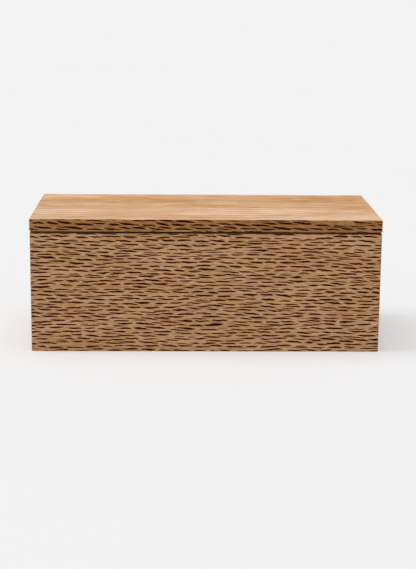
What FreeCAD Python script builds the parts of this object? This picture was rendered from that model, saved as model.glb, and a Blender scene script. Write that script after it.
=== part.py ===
import FreeCAD, Part
import math
import os
import Sketcher

# A keepsake box of mitred hardwood boards with a lift-off tambour lid.
# X runs along the box, Y from front to back, Z up from the table.
# The lid is one board sawn into slats and glued to a canvas, so that it curls.

# Driving sizes in millimetres, degrees or counts: name, value, meaning.
SIZES = (
    ("box_width", 299.6, "outside length of the front and back boards"),
    ("box_depth", 137.6, "outside length of the two end boards"),
    ("wall_height", 103.6, "height of the four boards"),
    ("wall_thickness", 10.0, "thickness of the four boards"),
    ("corner_round", 1.0, "radius of the upright outside corners"),
    ("edge_round", 0.5, "radius of the outside edges at top and bottom"),
    ("base_thickness", 6.0, "thickness of the base board"),
    ("base_lift", 4.0, "height of the underside of the base above the table"),
    ("groove_depth", 5.0, "depth of the groove that holds the base"),
    ("groove_play", 0.2, "room over the base in its groove"),
    ("tongue_play", 0.3, "room for the base to swell at the groove's floor"),
    ("spline_width", 8.0, "width of a corner spline, across the mitre"),
    ("spline_thickness", 3.0, "thickness of a corner spline"),
    ("spline_setback", 6.0, "outside face to the middle of a spline"),
    ("spline_play", 0.1, "room round a spline in its slot"),
    ("spline_foot", 6.0, "top of the base to the foot of a spline"),
    ("spline_cover", 12.0, "top of a spline to the top of the walls"),
    ("lid_overhang", 0.2, "lid beyond the walls on every side"),
    ("slat_count", 13, "slats in the lid"),
    ("slat_thickness", 10.9, "thickness of the slats"),
    ("slat_bevel", 1.5, "lean of each sawn side of a slat, in degrees"),
    ("saw_gap", 0.06, "gap between two slats at the canvas"),
    ("slat_round", 0.7, "radius of the outside edges of the lid"),
    ("canvas_thickness", 1.2, "thickness of the glued canvas"),
    ("canvas_inset", 1.2, "edge of the lid to the edge of the canvas"),
    ("batten_thickness", 6.0, "depth of the two battens under the lid"),
    ("batten_play", 1.0, "batten to the long walls"),
    ("batten_end_play", 0.8, "batten to the end walls"),
    ("batten_margin", 0.4, "batten to the sawn side of its slat"),
    ("batten_round", 1.0, "radius of the lower edges of a batten"),
    ("screw_count", 3, "screws in a batten"),
    ("screw_edge", 30.0, "end of a batten to its outer screws"),
    ("screw_head", 5.6, "diameter of a screw's countersunk head"),
    ("screw_shank", 3.0, "diameter of a screw's shank"),
    ("screw_length", 14.0, "length of a screw"),
    ("screw_point", 3.0, "length of a screw's tapered point"),
    ("screw_play", 0.1, "room round a screw in its hole"),
    ("hole_room", 1.0, "hole in the slat beyond the screw's point"),
    ("slot_width", 0.8, "width of the slot in a screw's head"),
    ("slot_depth", 0.7, "depth of the slot in a screw's head"),
)

doc = FreeCAD.newDocument("tambour_lid_box")
sheet = doc.addObject("Spreadsheet::Sheet", "Sizes")
for row, (alias, size, meaning) in enumerate(SIZES, start=1):
    sheet.set(f"A{row}", meaning)
    sheet.set(f"B{row}", str(size))
    sheet.setAlias(f"B{row}", alias)
doc.recompute()

# Places that several pieces share, as expressions on the driving sizes.
LID_WIDTH = "(Sizes.box_width + 2 * Sizes.lid_overhang)"
LID_DEPTH = "(Sizes.box_depth + 2 * Sizes.lid_overhang)"
SLAT_PITCH = f"({LID_DEPTH} / Sizes.slat_count)"
SLAT_LEVEL = "(Sizes.wall_height + Sizes.canvas_thickness)"
BASE_TOP = "(Sizes.base_lift + Sizes.base_thickness)"
SPLINE_LEVEL = f"({BASE_TOP} + Sizes.spline_foot)"
SPLINE_HEIGHT = f"(Sizes.wall_height - Sizes.spline_cover - {SPLINE_LEVEL})"
BATTEN_LENGTH = "(Sizes.box_width - 2 * Sizes.wall_thickness - 2 * Sizes.batten_end_play)"
BATTEN_FRONT = "(Sizes.wall_thickness + Sizes.batten_play - Sizes.box_depth / 2)"
BATTEN_BACK = f"(2 * {SLAT_PITCH} - {LID_DEPTH} / 2 - Sizes.batten_margin)"
BATTEN_WIDTH = f"({BATTEN_BACK} - {BATTEN_FRONT})"
BATTEN_MIDDLE = f"(({BATTEN_BACK} + {BATTEN_FRONT}) / 2)"
BATTEN_LEVEL = "(Sizes.wall_height - Sizes.batten_thickness)"
SCREW_SPAN = f"({BATTEN_LENGTH} - 2 * Sizes.screw_edge)"
HEAD_HEIGHT = "((Sizes.screw_head - Sizes.screw_shank) / 2)"
HOLE_WIDTH = "(Sizes.screw_shank + 2 * Sizes.screw_play)"

# A face or an edge lies on a plane if it is this close to it.
NEAR = 1e-4

FRONT, BACK = -1, 1
LEFT, RIGHT = -1, 1

pieces = []
cuts = []


def value(expression):
    """The number that an expression on the driving sizes gives."""
    return float(sheet.evalExpression(expression))


slat_count = int(value("Sizes.slat_count"))
screw_count = int(value("Sizes.screw_count"))


def new_piece(name, x="0", y="0", z="0", turn=0):
    """A body with its own label, placed by expressions and turned about Z."""
    body = doc.addObject("PartDesign::Body", name)
    body.Label = name
    body.Placement = FreeCAD.Placement(
        FreeCAD.Vector(value(x), value(y), value(z)),
        FreeCAD.Rotation(FreeCAD.Vector(0, 0, 1), turn))
    for axis, place in zip("xyz", (x, y, z)):
        body.setExpression(f"Placement.Base.{axis}", place)
    pieces.append(body)
    return body


def new_sketch(body, role, level="0"):
    """A sketch on one of the body's own planes, or above it by level."""
    sketch = body.newObject("Sketcher::SketchObject", f"{body.Name}_sketch")
    plane = next(item for item in body.Origin.OriginFeatures if item.Role == role)
    sketch.AttachmentSupport = [(plane, "")]
    sketch.MapMode = "FlatFace"
    if level != "0":
        sketch.setExpression("AttachmentOffset.Base.z", level)
    return sketch


def bind(sketch, kind, *target, size):
    """Add a dimension to the sketch and drive it by an expression."""
    index = sketch.addConstraint(Sketcher.Constraint(kind, *target, value(size)))
    sketch.setExpression(f"Constraints[{index}]", size)


def draw_outline(sketch, corners, arcs=None):
    """Draw a closed anticlockwise outline through corners given by expressions.

    arcs gives the centre and radius of each side that is an arc, by its number.
    """
    arcs = arcs or {}
    first = sketch.GeometryCount
    count = len(corners)
    points = [FreeCAD.Vector(value(x), value(y), 0) for x, y in corners]
    for side, start in enumerate(points):
        end = points[(side + 1) % count]
        if side in arcs:
            x, y, radius = (value(term) for term in arcs[side])
            circle = Part.Circle(FreeCAD.Vector(x, y, 0), FreeCAD.Vector(0, 0, 1), radius)
            angles = [math.atan2(point.y - y, point.x - x) for point in (start, end)]
            sketch.addGeometry(Part.ArcOfCircle(circle, *angles), False)
        else:
            sketch.addGeometry(Part.LineSegment(start, end), False)
    for side, (x, y) in enumerate(corners):
        follower = first + (side + 1) % count
        sketch.addConstraint(Sketcher.Constraint("Coincident", first + side, 2, follower, 1))
        bind(sketch, "DistanceX", first + side, 1, size=x)
        bind(sketch, "DistanceY", first + side, 1, size=y)
        if side in arcs:
            bind(sketch, "Radius", first + side, size=arcs[side][2])


def draw_rectangle(sketch, left, bottom, right, top):
    """Draw a rectangle from its four sides, given by expressions."""
    draw_outline(sketch, ((left, bottom), (right, bottom), (right, top), (left, top)))


def draw_circle(sketch, x, y, diameter):
    """Draw a circle from its centre and diameter, given by expressions."""
    index = sketch.GeometryCount
    centre = FreeCAD.Vector(value(x), value(y), 0)
    radius = value(diameter) / 2
    sketch.addGeometry(Part.Circle(centre, FreeCAD.Vector(0, 0, 1), radius), False)
    bind(sketch, "DistanceX", index, 3, size=x)
    bind(sketch, "DistanceY", index, 3, size=y)
    bind(sketch, "Diameter", index, size=diameter)


def pad(sketch, length, both_ways=False):
    """Raise a sketch into a solid, upwards or to both sides of its plane."""
    body = sketch.getParentGeoFeatureGroup()
    feature = body.newObject("PartDesign::Pad", f"{body.Name}_pad")
    feature.Profile = sketch
    feature.setExpression("Length", length)
    if both_ways:
        feature.SideType = "Symmetric"
    return feature


def pocket(sketch, depth=None):
    """Cut a sketch upwards by depth, or right through to both sides."""
    body = sketch.getParentGeoFeatureGroup()
    feature = body.newObject("PartDesign::Pocket", f"{body.Name}_pocket")
    feature.Profile = sketch
    if depth is None:
        feature.Type = "ThroughAll"
        feature.SideType = "Symmetric"
    else:
        feature.setExpression("Length", depth)
        feature.Reversed = True
    cuts.append(feature)
    return feature


def round_edges(base, radius, wanted):
    """Round those edges of a feature whose end points and middle are all wanted."""
    doc.recompute()
    names = []
    for number, edge in enumerate(base.Shape.Edges, start=1):
        points = [vertex.Point for vertex in edge.Vertexes] + [edge.CenterOfMass]
        if all(wanted(point) for point in points):
            names.append(f"Edge{number}")
    body = base.getParentGeoFeatureGroup()
    feature = body.newObject("PartDesign::Fillet", f"{body.Name}_round")
    feature.Base = (base, names)
    feature.setExpression("Radius", radius)
    return feature


def make_wall(name, length, x="0", y="0", turn=0):
    """One board of the box, its outside face on local y = 0.

    Both ends are mitred. A groove holds the base, and each mitre has a
    stopped slot for half of a spline.
    """
    body = new_piece(name, x, y, turn=turn)
    half = f"({length} / 2)"
    eased = "(Sizes.corner_round * (1 - sqrt(0.5)))"
    outline = new_sketch(body, "XY_Plane")
    draw_outline(
        outline,
        ((f"Sizes.corner_round - {half}", "0"),
         (f"{half} - Sizes.corner_round", "0"),
         (f"{half} - {eased}", eased),
         (f"{half} - Sizes.wall_thickness", "Sizes.wall_thickness"),
         (f"Sizes.wall_thickness - {half}", "Sizes.wall_thickness"),
         (f"{eased} - {half}", eased)),
        {1: (f"{half} - Sizes.corner_round", "Sizes.corner_round", "Sizes.corner_round"),
         5: (f"Sizes.corner_round - {half}", "Sizes.corner_round", "Sizes.corner_round")})
    board = pad(outline, "Sizes.wall_height")

    outer_line = value(eased) + NEAR
    top = value("Sizes.wall_height")
    round_edges(board, "Sizes.edge_round",
                lambda point: point.y < outer_line and min(point.z, top - point.z) < NEAR)

    groove = new_sketch(body, "YZ_Plane")
    draw_rectangle(groove, "Sizes.wall_thickness - Sizes.groove_depth", "Sizes.base_lift",
                   "2 * Sizes.wall_thickness", f"{BASE_TOP} + Sizes.groove_play")
    pocket(groove)

    slots = new_sketch(body, "XY_Plane", f"{SPLINE_LEVEL} - Sizes.spline_play")
    across = "((Sizes.spline_width + 2 * Sizes.spline_play) * sqrt(0.125))"
    along = "((Sizes.spline_thickness + 2 * Sizes.spline_play) * sqrt(0.125))"
    middle = "Sizes.spline_setback"
    right_slot = (
        (f"{half} - {middle} - {across} + {along}", f"{middle} - {across} - {along}"),
        (f"{half} - {middle} + {across} + {along}", f"{middle} + {across} - {along}"),
        (f"{half} - {middle} + {across} - {along}", f"{middle} + {across} + {along}"),
        (f"{half} - {middle} - {across} - {along}", f"{middle} - {across} + {along}"))
    left_slot = [(f"-({x})", y) for x, y in reversed(right_slot)]
    draw_outline(slots, right_slot)
    draw_outline(slots, left_slot)
    pocket(slots, f"{SPLINE_HEIGHT} + 2 * Sizes.spline_play")


def make_base():
    """The base board, its edges held in the grooves of the four walls."""
    body = new_piece("base_panel", z="Sizes.base_lift")
    reach = "(Sizes.groove_depth - Sizes.wall_thickness - Sizes.tongue_play)"
    outline = new_sketch(body, "XY_Plane")
    draw_rectangle(outline, f"-Sizes.box_width / 2 - {reach}", f"-Sizes.box_depth / 2 - {reach}",
                   f"Sizes.box_width / 2 + {reach}", f"Sizes.box_depth / 2 + {reach}")
    pad(outline, "Sizes.base_thickness")


def make_spline(name, side, end):
    """A thin strip of wood across one mitre, hidden in the slots of two walls."""
    body = new_piece(
        name,
        f"{side} * (Sizes.box_width / 2 - Sizes.spline_setback)",
        f"{end} * (Sizes.box_depth / 2 - Sizes.spline_setback)",
        SPLINE_LEVEL,
        turn=-45 * side * end)
    outline = new_sketch(body, "XY_Plane")
    draw_rectangle(outline, "-Sizes.spline_width / 2", "-Sizes.spline_thickness / 2",
                   "Sizes.spline_width / 2", "Sizes.spline_thickness / 2")
    pad(outline, SPLINE_HEIGHT)


def batten_side(number):
    """FRONT or BACK for a slat that carries a batten, otherwise None."""
    return {2: FRONT, slat_count - 1: BACK}.get(number)


def screw_places(middle):
    """Centres of one batten's screws, on a line at y = middle."""
    for number in range(screw_count):
        share = number / (screw_count - 1) - 0.5
        yield f"{SCREW_SPAN} * {share}", middle


def make_slat(number):
    """One slat of the lid, counted from the front.

    Its sawn sides lean away from its neighbours above the canvas, so the
    slats close on each other when the lid is curled. The outside faces of
    the first and last slats are square, with rounded edges.
    """
    body = new_piece(
        f"slat_{number:02d}",
        y=f"{SLAT_PITCH} * {number - 1} - {LID_DEPTH} / 2",
        z=SLAT_LEVEL)
    lean = "(Sizes.slat_thickness * tan(Sizes.slat_bevel))"
    gap = "(Sizes.saw_gap / 2)"
    front_low, front_high = gap, f"{gap} + {lean}"
    back_low, back_high = f"{SLAT_PITCH} - {gap}", f"{SLAT_PITCH} - {gap} - {lean}"
    if number == 1:
        front_low = front_high = "0"
    if number == slat_count:
        back_low = back_high = SLAT_PITCH
    profile = new_sketch(body, "YZ_Plane")
    draw_outline(profile, ((front_low, "0"), (back_low, "0"),
                           (back_high, "Sizes.slat_thickness"),
                           (front_high, "Sizes.slat_thickness")))
    strip = pad(profile, LID_WIDTH, both_ways=True)

    half = value(LID_WIDTH) / 2
    outside = {1: 0.0, slat_count: value(SLAT_PITCH)}.get(number)

    def on_outside(point):
        return outside is not None and abs(point.y - outside) < NEAR

    top = value("Sizes.slat_thickness")
    round_edges(strip, "Sizes.slat_round",
                lambda point: (abs(point.x) > half - NEAR or on_outside(point))
                and (min(point.z, top - point.z) < NEAR or on_outside(point)))

    side = batten_side(number)
    if side is not None:
        place = f"({side} * -1 * {BATTEN_MIDDLE} - {SLAT_PITCH} * {number - 1} + {LID_DEPTH} / 2)"
        holes = new_sketch(body, "XY_Plane")
        for x, y in screw_places(place):
            draw_circle(holes, x, y, HOLE_WIDTH)
        pocket(holes, "Sizes.screw_length - Sizes.batten_thickness"
                      " - Sizes.canvas_thickness + Sizes.hole_room")


def make_canvas():
    """The canvas glued under all the slats: it is the hinge of the lid."""
    body = new_piece("canvas_backing", z="Sizes.wall_height")
    outline = new_sketch(body, "XY_Plane")
    half_width = f"({LID_WIDTH} / 2 - Sizes.canvas_inset)"
    half_depth = f"({LID_DEPTH} / 2 - Sizes.canvas_inset)"
    draw_rectangle(outline, f"-{half_width}", f"-{half_depth}", half_width, half_depth)
    for side in (FRONT, BACK):
        for x, y in screw_places(f"{side} * -1 * {BATTEN_MIDDLE}"):
            draw_circle(outline, x, y, HOLE_WIDTH)
    pad(outline, "Sizes.canvas_thickness")


def make_batten(name, side):
    """A batten under the lid, just inside a long wall, that locates the lid."""
    body = new_piece(name, y=f"{side} * -1 * {BATTEN_MIDDLE}", z=BATTEN_LEVEL)
    outline = new_sketch(body, "XY_Plane")
    draw_rectangle(outline, f"-{BATTEN_LENGTH} / 2", f"-{BATTEN_WIDTH} / 2",
                   f"{BATTEN_LENGTH} / 2", f"{BATTEN_WIDTH} / 2")
    strip = pad(outline, "Sizes.batten_thickness")
    rounded = round_edges(strip, "Sizes.batten_round", lambda point: point.z < NEAR)

    flare = f"({HEAD_HEIGHT} + Sizes.screw_play)"
    last = rounded
    for number, (x, _) in enumerate(screw_places("0")):
        section = new_sketch(body, "XZ_Plane")
        draw_outline(section, ((x, "0"),
                               (f"{x} + Sizes.screw_head / 2 + Sizes.screw_play", "0"),
                               (f"{x} + {HOLE_WIDTH} / 2", flare),
                               (f"{x} + {HOLE_WIDTH} / 2", "Sizes.batten_thickness"),
                               (x, "Sizes.batten_thickness")))
        hole = body.newObject("PartDesign::Groove", f"{name}_hole_{number}")
        hole.Profile = section
        hole.ReferenceAxis = (section, ["Edge5"])
        hole.Angle = 360
        cuts.append(hole)
        last = hole
    body.Tip = last


def make_screws(name, side):
    """The countersunk slotted screws of one batten, heads down."""
    body = new_piece(name, y=f"{side} * -1 * {BATTEN_MIDDLE}", z=BATTEN_LEVEL)
    first = f"(-{SCREW_SPAN} / 2)"
    section = new_sketch(body, "XZ_Plane")
    draw_outline(section, ((first, "0"),
                           (f"{first} + Sizes.screw_head / 2", "0"),
                           (f"{first} + Sizes.screw_shank / 2", HEAD_HEIGHT),
                           (f"{first} + Sizes.screw_shank / 2",
                            "Sizes.screw_length - Sizes.screw_point"),
                           (first, "Sizes.screw_length")))
    turned = body.newObject("PartDesign::Revolution", f"{name}_turned")
    turned.Profile = section
    turned.ReferenceAxis = (section, ["Edge5"])
    turned.Angle = 360

    slot = new_sketch(body, "XY_Plane")
    draw_rectangle(slot, f"{first} - Sizes.screw_head", "-Sizes.slot_width / 2",
                   f"{first} + Sizes.screw_head", "Sizes.slot_width / 2")
    driven = pocket(slot, "Sizes.slot_depth")

    row = body.newObject("PartDesign::LinearPattern", f"{name}_row")
    row.Originals = [turned, driven]
    row.Direction = (slot, ["H_Axis"])
    row.setExpression("Length", SCREW_SPAN)
    row.setExpression("Occurrences", "Sizes.screw_count")
    body.Tip = row


make_wall("front_panel", "Sizes.box_width", y="-Sizes.box_depth / 2")
make_wall("right_end_panel", "Sizes.box_depth", x="Sizes.box_width / 2", turn=90)
make_wall("back_panel", "Sizes.box_width", y="Sizes.box_depth / 2", turn=180)
make_wall("left_end_panel", "Sizes.box_depth", x="-Sizes.box_width / 2", turn=270)
make_base()
for end, end_name in ((FRONT, "front"), (BACK, "back")):
    for side, side_name in ((LEFT, "left"), (RIGHT, "right")):
        make_spline(f"corner_spline_{end_name}_{side_name}", side, end)
for number in range(1, slat_count + 1):
    make_slat(number)
make_canvas()
for side, side_name in ((FRONT, "front"), (BACK, "rear")):
    make_batten(f"{side_name}_locating_batten", side)
    make_screws(f"{side_name}_batten_screws", side)
doc.recompute()

for item in doc.Objects:
    if {"Invalid", "Error"} & set(item.State):
        raise RuntimeError(f"{item.Name} failed: {item.State}")
for cut in cuts:
    if cut.Shape.Volume > cut.BaseFeature.Shape.Volume - NEAR:
        raise RuntimeError(f"{cut.Name} cuts nothing")
for piece in pieces:
    if piece.Shape.isNull() or not piece.Shape.isValid():
        raise RuntimeError(f"{piece.Label} has no valid shape")

os.makedirs("parts", exist_ok=True)
for piece in pieces:
    piece.Shape.exportStep(f"parts/{piece.Label}.step")
print(len(pieces), "pieces written")
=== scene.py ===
import math

import bpy
from mathutils import Matrix, Vector


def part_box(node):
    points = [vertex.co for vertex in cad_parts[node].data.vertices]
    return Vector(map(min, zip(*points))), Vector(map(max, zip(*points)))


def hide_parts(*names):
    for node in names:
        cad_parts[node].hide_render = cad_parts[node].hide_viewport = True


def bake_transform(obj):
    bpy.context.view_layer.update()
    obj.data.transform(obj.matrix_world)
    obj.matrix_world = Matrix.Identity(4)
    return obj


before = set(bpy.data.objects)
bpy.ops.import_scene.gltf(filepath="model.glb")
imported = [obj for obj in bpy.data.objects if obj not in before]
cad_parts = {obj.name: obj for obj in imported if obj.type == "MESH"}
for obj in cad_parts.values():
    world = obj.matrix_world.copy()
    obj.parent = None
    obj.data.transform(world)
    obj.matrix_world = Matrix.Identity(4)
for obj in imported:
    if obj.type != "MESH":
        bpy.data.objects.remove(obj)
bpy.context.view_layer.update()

MM = 0.001


# The four walls: boards of a wood with broad rays, mitred at the corners and
# oiled. The grain runs round the box, and the dark ends of the rays cover the
# outside and inside of each board.
def paint(red, green, blue):
    """A colour from screen values of 0 to 255, as the linear numbers shaders take."""
    return (*(((c / 255 + 0.055) / 1.055) ** 2.4 for c in (red, green, blue)), 1.0)


class Strand:
    """A socket of a finish, on which sums are written as Python expressions."""

    def __init__(self, finish, socket):
        self.finish, self.socket = finish, socket

    def math(self, operation, *terms, **settings):
        """A Math node that takes this strand first and then the other terms."""
        return self.finish.add("ShaderNodeMath", dict(operation=operation, **settings),
                               dict(enumerate((self, *terms))))["Value"]

    def __add__(self, other):
        return self.math("ADD", other)

    __radd__ = __add__

    def __sub__(self, other):
        return self.math("SUBTRACT", other)

    def __rsub__(self, other):
        return self.math("MULTIPLY_ADD", -1.0, other)

    def __mul__(self, other):
        return self.math("MULTIPLY", other)

    __rmul__ = __mul__

    def __truediv__(self, other):
        return self.math("DIVIDE", other)

    def __abs__(self):
        return self.math("ABSOLUTE")

    def clamped(self):
        """The same strand, kept between 0 and 1."""
        return self.math("ADD", 0.0, use_clamp=True)

    def rising(self, low, high):
        """0 below low and 1 above high, with a soft step between."""
        return self.finish.add("ShaderNodeMapRange", {"interpolation_type": "SMOOTHSTEP"},
                               {"Value": self, "From Min": low, "From Max": high})["Result"]


class Finish:
    """A material whose nodes are added one call at a time."""

    def __init__(self, name, **surface):
        self.material = bpy.data.materials.new(name)
        self.material.use_nodes = True
        self.tree = self.material.node_tree
        self.surface = self.tree.nodes["Principled BSDF"]
        self.show(**surface)
        self.coordinates = self.add("ShaderNodeTexCoord")
        self.place = self.split(self.coordinates["Object"])

    def add(self, kind, settings=None, sockets=None):
        """Add a node, set it up, fill its sockets, and give its outputs by name."""
        node = self.tree.nodes.new(kind)
        for name, value in (settings or {}).items():
            setattr(node, name, value)
        for key, value in (sockets or {}).items():
            named = {socket.name: socket for socket in node.inputs if socket.enabled}
            self.fill(node.inputs[key] if isinstance(key, int) else named[key], value)
        return {socket.name: Strand(self, socket) for socket in node.outputs if socket.enabled}

    def fill(self, socket, value):
        """Link a strand to a socket, or set the socket to a plain value."""
        if isinstance(value, Strand):
            self.tree.links.new(value.socket, socket)
        else:
            socket.default_value = value

    def show(self, **sockets):
        """Give the surface its colour, roughness and so on."""
        for name, value in sockets.items():
            self.fill(self.surface.inputs[name.replace("_", " ")], value)

    def split(self, vector):
        return self.add("ShaderNodeSeparateXYZ", {}, {0: vector})

    def vector(self, x=0.0, y=0.0, z=0.0):
        return self.add("ShaderNodeCombineXYZ", {}, {"X": x, "Y": y, "Z": z})["Vector"]

    def facing(self, axis):
        """1 on faces square to an axis, and 0 on faces along it."""
        return abs(self.split(self.coordinates["Normal"])[axis]).rising(0.75, 0.95)

    def noise(self, x, y, z, detail=2.0, rough=0.5):
        """Cloudy values from 0 to 1 round 0.5, one cloud to each unit of x, y and z."""
        return self.add("ShaderNodeTexNoise", {"noise_dimensions": "3D"},
                        {"Vector": self.vector(x, y, z), "Scale": 1.0,
                         "Detail": detail, "Roughness": rough})["Fac"]

    def mixed(self, share, first, second):
        """A colour between two others."""
        return self.add("ShaderNodeMix", {"data_type": "RGBA"},
                        {"Factor": share, "A": first, "B": second})["Result"]

    def relief(self, height, depth):
        """Let height, from 0 to 1, stand depth metres high on the surface."""
        self.show(Normal=self.add("ShaderNodeBump", {}, {"Height": height, "Distance": depth,
                                                         "Strength": 1.0})["Normal"])

    def put_on(self, *names):
        """Give CAD nodes this finish."""
        for name in names:
            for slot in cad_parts[name].material_slots:
                slot.material = self.material


# How the spindles lie, in shares of their room, and the most by which chance
# changes each one: its slope, its bend per metre, and shares of the rest.
STAGGER = 0.55
STRAY = 0.7
TIP = 0.3
TILT = 0.05
BOW = 3.0
TIP_CHANCE = 0.3
HEIGHT_CHANCE = 0.2
SIZE_CHANCE = 0.2
STIR = (7.3, 5.1)


def ray_ends(finish, along, across, length, spacing, height, lean):
    """The spindle-shaped ends of rays, one to each patch of the surface.

    length and spacing are those of the usual patch, and height is that of a
    spindle's middle. Rows are staggered, and a spindle tapers over its tips.
    Each one strays, tilts, bows and differs in size a little by chance, and
    all of them lean by lean. Gives about 1 in the middle of a spindle, 0 at
    its edge, and less outside.
    """
    row = across / spacing
    spot = {"Vector": finish.vector(along / length + row * STAGGER, row),
            "Scale": 1.0, "Randomness": STRAY}
    patch = finish.add("ShaderNodeTexVoronoi", {"voronoi_dimensions": "2D"}, spot)
    border = finish.add("ShaderNodeTexVoronoi", {"voronoi_dimensions": "2D",
                                                 "feature": "DISTANCE_TO_EDGE"}, spot)["Distance"]
    offset = finish.split(finish.add("ShaderNodeVectorMath", {"operation": "SUBTRACT"},
                                     {0: spot["Vector"], 1: patch["Position"]})["Vector"])

    # A patch has three chance values, and a fourth is stirred from two of them.
    chance = finish.add("ShaderNodeSeparateColor", {}, {0: patch["Color"]})
    other_chance = (chance["Red"] * STIR[0] + chance["Blue"] * STIR[1]).math("FRACT")

    east = (offset["X"] - offset["Y"] * STAGGER) * length
    tilt = chance["Blue"] * (2 * TILT) - TILT + lean
    bow = east * east * (other_chance - 0.5) * (2 * BOW)
    north = offset["Y"] * spacing - east * tilt - bow
    taper = (border / TIP - chance["Red"] * TIP_CHANCE).math("MINIMUM", 1.0)
    half_height = (chance["Green"] * (2 * HEIGHT_CHANCE) + (1 - HEIGHT_CHANCE)) * (height / 2)
    return taper * (2 - taper) - abs(north) / half_height - other_chance * SIZE_CHANCE


# How far rows of rays wander, how they slope through a board, and how far each
# board's figure lies from the last one's. Fine rays come between the broad ones.
SWAY = 4.5 * MM
RIPPLE = 1.6 * MM
RAY_SLOPE = 0.13
SEED_STEP = 20 * MM
FINE_STEP = 500 * MM
FINE_LENGTH = 0.7
FINE_SPACING = 1.3
FINE_HEIGHT = 0.6
FINE_RARER = 0.6

# An oiled surface: its gloss, and the depth of its grain.
OILED_GLOSS = 0.03
OILED_ROUGHNESS = 0.5
GRAIN_DEPTH = 0.15 * MM


def board(name, grain, across_rays, along_rays, rays, seed, lean=0.0, band=None, painted_shade_edge=None):
    """A finish of oiled wood with broad rays.

    grain names the axes along the grain, across it, and through the flecked
    face. across_rays has the light and dark wood of that face, and the wood
    round its spindles and in them. along_rays has the light and dark wood of
    the plainer faces. rays are the length and spacing of the usual patch and
    the height of its spindle. band is the place through the board, and the
    reach, of a darker band of growth rings. painted_shade_edge is the height
    of an upper or lower face, and the reach of the painted shade of the gap
    between lid and walls on the rounded edges there.
    """
    finish = Finish(name, Specular_IOR_Level=OILED_GLOSS)
    along, across, through = (finish.place[axis] for axis in grain)
    flecked, sawn_end = finish.facing(grain[2]), finish.facing(grain[0])

    def figure(lengthwise, crosswise, deep, **kind):
        """Clouds of so many millimetres along, across and through the board."""
        return finish.noise(along / (lengthwise * MM), across / (crosswise * MM),
                            through / (deep * MM) + seed, **kind)

    sway = figure(55, 14, 30) - 0.5
    ripple = finish.noise(along / (5.5 * MM), across / (5 * MM), seed, detail=3.0, rough=0.6) - 0.5
    bent = across + sway * SWAY + ripple * RIPPLE + through * RAY_SLOPE + seed * SEED_STEP
    length, spacing, height = rays
    broad = ray_ends(finish, along, bent, length, spacing, height, lean)
    fine = ray_ends(finish, along, bent + FINE_STEP, length * FINE_LENGTH, spacing * FINE_SPACING,
                    height * FINE_HEIGHT, lean)
    spindle = broad.math("MAXIMUM", fine - FINE_RARER)
    halo = spindle.rising(-0.5, 0.25) * flecked
    fleck = spindle.rising(0.0, 0.4) * flecked
    beside = spindle.rising(-3.0, -0.8)

    # Each kind of figure has its share in how dark the wood is.
    cloud = figure(110, 15, 22).rising(0.3, 0.7)
    fibre = figure(18, 0.7, 0.7, rough=0.6).rising(0.25, 0.75)
    ribbon = figure(6, 3, 22).rising(0.3, 0.7)
    streak = figure(22, 1.6, 1.6, rough=0.6).rising(0.35, 0.65)
    across_shade = (cloud * 0.35 + streak * 0.5 + ribbon * 0.25 + 0.1 - beside * 0.3).clamped()
    curl = figure(24, 4, 6.2, detail=3.0).rising(0.3, 0.7)
    along_shade = cloud * 0.35 + curl * 0.32 + fibre * 0.15 + streak * 0.12
    if band:
        middle, reach = band
        inside = (1 - abs(through - middle) / reach).rising(0.0, 1.0)
        wander = finish.noise(along / (150 * MM), seed, through / (200 * MM)).rising(0.25, 0.6)
        along_shade = along_shade + inside * wander * 0.22
    light, dark, halo_tone, spindle_tone = across_rays
    colour = finish.mixed(flecked, finish.mixed(along_shade, *along_rays),
                          finish.mixed(across_shade, light, dark))
    colour = finish.mixed(fleck, finish.mixed(halo, colour, halo_tone), spindle_tone)

    # A sawn end is darker all over, and most in its pores and rays.
    pores = figure(10, 0.4, 0.4).rising(0.45, 0.7)
    ray_line = figure(10, 0.7, 12).rising(0.5, 0.7)
    end_shade = (pores * 0.6 + ray_line * 0.5 + cloud * 0.3).clamped() * 0.45 + 0.15
    colour = finish.mixed(sawn_end * end_shade, colour, spindle_tone)

    # Painted shade: beside the shadow gap between lid and walls, the faces within reach of that height,
    # but not the flat face itself, are darkened towards the rays' darkest tone.
    if painted_shade_edge:
        level, reach = painted_shade_edge
        rounded = 1 - finish.facing(grain[1])
        painted_shade = (1 - abs(across - level) / reach).rising(0.0, 0.5)
        colour = finish.mixed(painted_shade * rounded, colour, spindle_tone)

    finish.show(Base_Color=colour, Roughness=fleck * 0.15 + fibre * 0.1 + OILED_ROUGHNESS)
    finish.relief(1 - fleck * 0.8 - fibre * 0.12 - pores * sawn_end * 0.3, GRAIN_DEPTH)
    return finish


WALL_TONES = (paint(217, 176, 136), paint(180, 126, 70), paint(134, 60, 2), paint(54, 2, 0))
WALL_PLAIN = (paint(216, 176, 140), paint(188, 140, 98))
WALL_RAYS = (14.0 * MM, 3.2 * MM, 1.6 * MM)
WALL_GRAIN = {"front_panel": "XZY", "back_panel": "XZY", "left_end_panel": "YZX", "right_end_panel": "YZX"}
# The walls' top edges get painted shade, for the shadow gap under the lid.
PAINTED_SHADE_REACH = 0.45 * MM
for number, (wall, grain) in enumerate(WALL_GRAIN.items()):
    wall_wood = board(f"{wall}_wood", grain, WALL_TONES, WALL_PLAIN, WALL_RAYS, seed=3.0 + 7 * number,
                      painted_shade_edge=(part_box(wall)[1].z, PAINTED_SHADE_REACH))
    wall_wood.put_on(wall)


# The base: a thinner board of the same wood, held in a groove of the walls.
# It is cut along the rays, so it is plainer than the walls.
base_wood = board("base_wood", "XZY", WALL_TONES, WALL_PLAIN, WALL_RAYS, seed=41.0)
base_wood.put_on("base_panel")


# The splines: strips of the same wood, glued into closed slots across the
# mitres, where nothing of them shows.
spline_wood = board("spline_wood", "ZXY", WALL_TONES, WALL_PLAIN, WALL_RAYS, seed=57.0)
spline_wood.put_on(*(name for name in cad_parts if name.startswith("corner_spline")))


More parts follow.
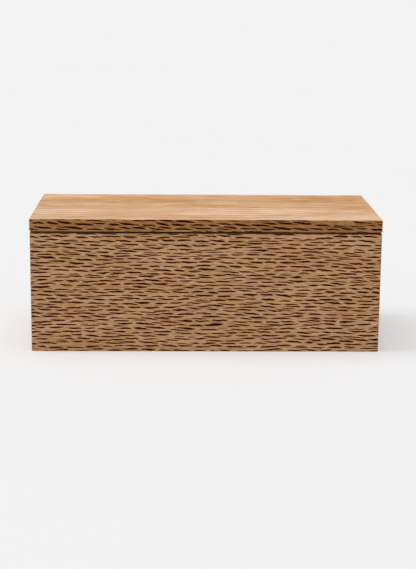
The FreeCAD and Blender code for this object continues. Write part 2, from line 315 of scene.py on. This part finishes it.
# The lid: one board sawn into slats along the grain and kept in order, so its
# figure runs on from slat to slat. Its top is cut along the rays and is pale,
# while its front and back edges show the rays' dark ends.
LID_TONES = (paint(190, 142, 93), paint(145, 95, 41), paint(102, 42, 0), paint(36, 0, 0))
LID_PLAIN = (paint(243, 212, 182), paint(194, 136, 74))
LID_RAYS = (13.5 * MM, 3.7 * MM, 1.85 * MM)
slats = sorted(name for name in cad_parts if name.startswith("slat_"))
# The lid's lower edges get painted shade, for the shadow gap over the walls.
lid_wood = board("lid_wood", "XZY", LID_TONES, LID_PLAIN, LID_RAYS, seed=15.1, lean=-0.06,
                 band=(28 * MM, 56 * MM), painted_shade_edge=(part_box(slats[0])[0].z, PAINTED_SHADE_REACH))
lid_wood.put_on(*slats)


# The canvas: one sheet of dark close-woven cotton, glued under all the slats,
# which is the lid's only hinge. It is made here in lengths that meet under the
# middles of the slats, each with a bend just in front of the joint above it.
THREAD = 0.55 * MM
SLUB = (12 * MM, 0.8 * MM)
WEAVE_DEPTH = 0.2 * MM
CANVAS_TONES = (paint(2, 1, 1), paint(24, 18, 14))
BEND = 2.0 * MM
BEND_CUTS = 5

canvas = Finish("canvas", Roughness=0.95, Specular_IOR_Level=0.04)
warp = (canvas.place["X"] * (math.pi / THREAD)).math("SINE")
weft = (canvas.place["Y"] * (math.pi / THREAD)).math("SINE")
weave = abs(warp) * 0.5 + abs(weft) * 0.5 + warp * weft * 0.25
slub = canvas.noise(canvas.place["X"] / SLUB[0], canvas.place["Y"] / SLUB[1], 0.0)
canvas.show(Base_Color=canvas.mixed((weave * 0.7 + slub * 0.3).clamped(), *CANVAS_TONES))
canvas.relief(weave, WEAVE_DEPTH)

canvas_low, canvas_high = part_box("canvas_backing")
for number, (front_slat, back_slat) in enumerate(zip(slats, slats[1:]), start=1):
    front_low, front_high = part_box(front_slat)
    back_low, back_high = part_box(back_slat)
    seam = (front_high.y + back_low.y) / 2
    front = canvas_low.y if number == 1 else (front_low.y + front_high.y) / 2
    back = canvas_high.y if number == len(slats) - 1 else (back_low.y + back_high.y) / 2
    low = Vector((canvas_low.x, front, canvas_low.z))
    high = Vector((canvas_high.x, back, canvas_high.z))
    bpy.ops.object.select_all(action="DESELECT")
    bpy.ops.mesh.primitive_cube_add(size=1.0, location=(low + high) / 2, scale=high - low)
    bpy.ops.object.transform_apply(location=True, rotation=True, scale=True)
    length = bpy.context.object
    length.name = f"canvas_{number:02d}"
    bpy.ops.object.mode_set(mode="EDIT")
    for cut in range(BEND_CUTS):
        bpy.ops.mesh.select_all(action="SELECT")
        place = seam - BEND * cut / (BEND_CUTS - 1)
        bpy.ops.mesh.bisect(plane_co=(0.0, place, 0.0), plane_no=(0.0, 1.0, 0.0))
    bpy.ops.object.mode_set(mode="OBJECT")
    length.data.materials.append(canvas.material)
    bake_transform(length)
    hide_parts("canvas_backing")


# The battens: two strips of the walls' wood under the lid, screwed through the
# canvas into the second slat from each edge. They keep the lid in its place.
batten_wood = board("batten_wood", "XZY", WALL_TONES, WALL_PLAIN, WALL_RAYS, seed=71.0)
batten_wood.put_on("front_locating_batten", "rear_locating_batten")


# The screws: small slotted brass ones, turned and left bare, heads down in the
# battens.
DULL_PATCH = 2 * MM
BRASS_TONES = (paint(214, 178, 104), paint(160, 122, 60))
brass = Finish("brass", Metallic=1.0)
dull = brass.noise(*(brass.place[axis] / DULL_PATCH for axis in "XYZ"))
brass.show(Base_Color=brass.mixed(dull, *BRASS_TONES), Roughness=dull * 0.25 + 0.25)
brass.put_on("front_batten_screws", "rear_batten_screws")


# The studio: a plain pale floor, a broad soft light overhead, a weaker one on
# the left, and a camera a little above the lid, far enough back to keep the
# front nearly flat.
FLOOR_SIZE = 60.0
FLOOR_TONES = (paint(195, 195, 196), paint(193, 193, 193))
floor_finish = Finish("floor", Roughness=0.8, Specular_IOR_Level=0.0,
                      Emission_Color=paint(255, 255, 255), Emission_Strength=0.33)
mottle = floor_finish.noise(floor_finish.place["X"], floor_finish.place["Y"], 0.0)
floor_finish.show(Base_Color=floor_finish.mixed(mottle, *FLOOR_TONES))
bpy.ops.object.select_all(action="DESELECT")
bpy.ops.mesh.primitive_plane_add(size=FLOOR_SIZE)
floor = bpy.context.object
floor.name = "floor"
floor.data.materials.append(floor_finish.material)

ROOM_LIGHT = 0.31
world = bpy.data.worlds.new("studio_light")
bpy.context.scene.world = world
world.use_nodes = True
sky = world.node_tree.nodes["Background"]
sky.inputs["Color"].default_value = paint(255, 255, 255)
sky.inputs["Strength"].default_value = ROOM_LIGHT

LIGHTS = {"overhead": {"heading": (0.10, 0.11, -1.0), "strength": 1.77, "spread": 58.0},
          "window": {"heading": (1.0, 0.0, -0.75), "strength": 0.95, "spread": 24.0}}
for name, light in LIGHTS.items():
    lamp = bpy.data.lights.new(name, "SUN")
    lamp.energy = light["strength"]
    lamp.angle = math.radians(light["spread"])
    stand = bpy.data.objects.new(name, lamp)
    bpy.context.collection.objects.link(stand)
    stand.rotation_euler = Vector(light["heading"]).to_track_quat("-Z", "Y").to_euler()

CAMERA_PLACE = Vector((-29.2, -1218.0, 315.2)) * MM
CAMERA_TURNS = {"pitch": 12.548, "yaw": 1.541, "roll": -0.511}
CAMERA_LENS = 87.09
pitch, yaw, roll = (math.radians(turn) for turn in CAMERA_TURNS.values())
ahead = Vector((math.sin(yaw) * math.cos(pitch), math.cos(yaw) * math.cos(pitch), -math.sin(pitch)))
level = Vector((math.cos(yaw), -math.sin(yaw), 0.0))
down = ahead.cross(level)
right = level * math.cos(roll) + down * math.sin(roll)
up = level * math.sin(roll) - down * math.cos(roll)
turned = Matrix((right, up, -ahead)).transposed().to_4x4()
camera_data = bpy.data.cameras.new("camera")
camera_data.lens = CAMERA_LENS
camera_data.sensor_width = 36.0
camera_data.clip_end = 50.0
camera = bpy.data.objects.new("camera", camera_data)
bpy.context.collection.objects.link(camera)
camera.matrix_world = Matrix.Translation(CAMERA_PLACE) @ turned
bpy.context.scene.camera = camera
bpy.context.scene.view_settings.view_transform = "Standard"
